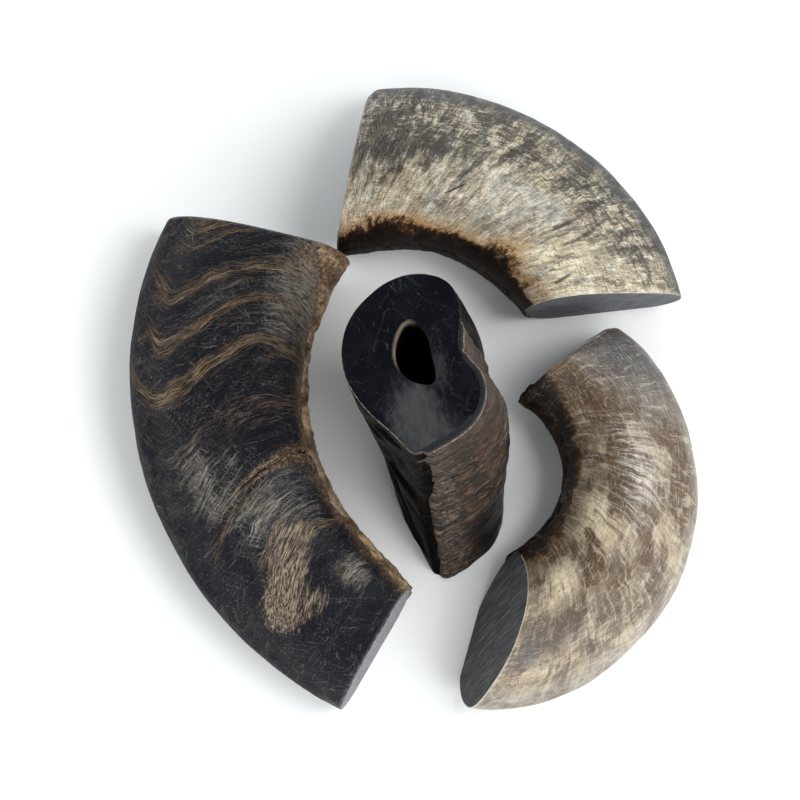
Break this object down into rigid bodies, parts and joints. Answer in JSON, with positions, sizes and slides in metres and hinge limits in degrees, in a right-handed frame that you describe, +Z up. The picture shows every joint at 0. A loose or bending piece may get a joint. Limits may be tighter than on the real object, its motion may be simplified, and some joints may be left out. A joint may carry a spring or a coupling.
{
  "type": "set of cut horn lengths",
  "caption": "Curved lengths of dark and pale buffalo horn, sawn square and lightly sanded, with rough rind left inside each bend, for carving or chewing.",
  "frame": {"origin": "on the table, at the middle of the set's footprint", "axes": "+Z up; +Y from the viewer across the ring of horns, its longest way; +X to the viewer's right"},
  "size_m": [0.1706, 0.1904, 0.075],
  "materials": {
    "dark_banded_horn": null,
    "pale_streaked_horn": null,
    "mottled_horn": null,
    "black_horn": null,
    "rind": "rough fibrous outer horn, unsanded"
  },
  "bodies": {
    "left": {"left_horn": "dark_banded_horn", "left_horn_rind": "rind"},
    "upper": {"upper_horn": "pale_streaked_horn", "upper_horn_rind": "rind"},
    "right": {"right_horn": "mottled_horn", "right_horn_rind": "rind"},
    "standing": {"standing_horn": "black_horn", "standing_horn_rind": "rind"}
  },
  "joints": [
    {"name": "lift_upper", "type": "slide", "parent": "left", "child": "upper", "axis": [0, 0, 1], "range_m": [0, 0.2]},
    {"name": "lift_right", "type": "slide", "parent": "left", "child": "right", "axis": [0, 0, 1], "range_m": [0, 0.2]},
    {"name": "lift_standing", "type": "slide", "parent": "left", "child": "standing", "axis": [0, 0, 1], "range_m": [0, 0.2]}
  ]
}
